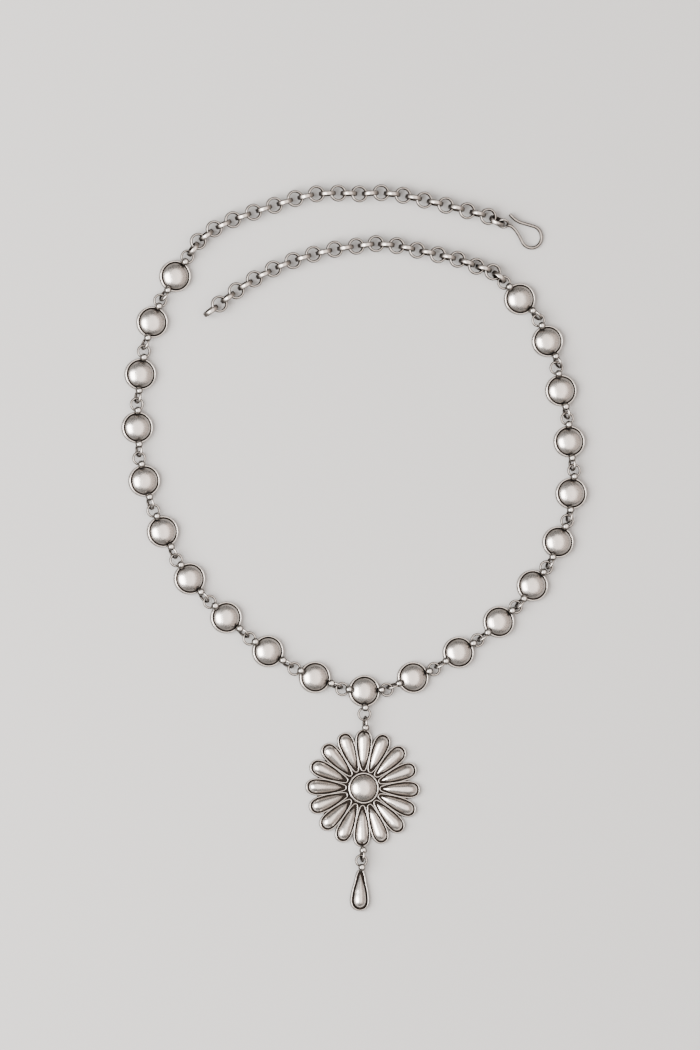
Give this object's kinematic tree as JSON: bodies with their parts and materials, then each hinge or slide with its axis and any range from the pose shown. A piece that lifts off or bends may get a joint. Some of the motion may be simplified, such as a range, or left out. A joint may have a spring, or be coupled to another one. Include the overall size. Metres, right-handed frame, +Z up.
{
  "type": "flower necklace",
  "caption": "Antiqued silver necklace lying unfastened: domed links joined ring to ring, belcher chain ends, an open hook, and a petalled flower pendant with a teardrop drop.",
  "frame": {"origin": "middle of the centre dome's flat back, on the surface that the necklace lies on", "axes": "+X to the right with the pendant below, +Y from the pendant towards the chains, +Z up from the surface"},
  "size_m": [0.1519, 0.2304, 0.0054],
  "materials": {
    "antiqued_silver": "satin silver with blackened grooves"
  },
  "bodies": {
    "root": {"centre_dome": "antiqued_silver", "right_dome_01": "antiqued_silver", "right_dome_02": "antiqued_silver", "right_dome_03": "antiqued_silver", "right_dome_04": "antiqued_silver", "right_dome_05": "antiqued_silver", "right_dome_06": "antiqued_silver", "right_dome_07": "antiqued_silver", "right_dome_08": "antiqued_silver", "right_dome_09": "antiqued_silver", "right_dome_10": "antiqued_silver", "left_dome_01": "antiqued_silver", "left_dome_02": "antiqued_silver", "left_dome_03": "antiqued_silver", "left_dome_04": "antiqued_silver", "left_dome_05": "antiqued_silver", "left_dome_06": "antiqued_silver", "left_dome_07": "antiqued_silver", "left_dome_08": "antiqued_silver", "left_dome_09": "antiqued_silver", "left_dome_10": "antiqued_silver", "flower_pendant": "antiqued_silver", "drop": "antiqued_silver", "right_chain": "antiqued_silver", "left_chain": "antiqued_silver", "hook": "antiqued_silver"}
  },
  "joints": []
}
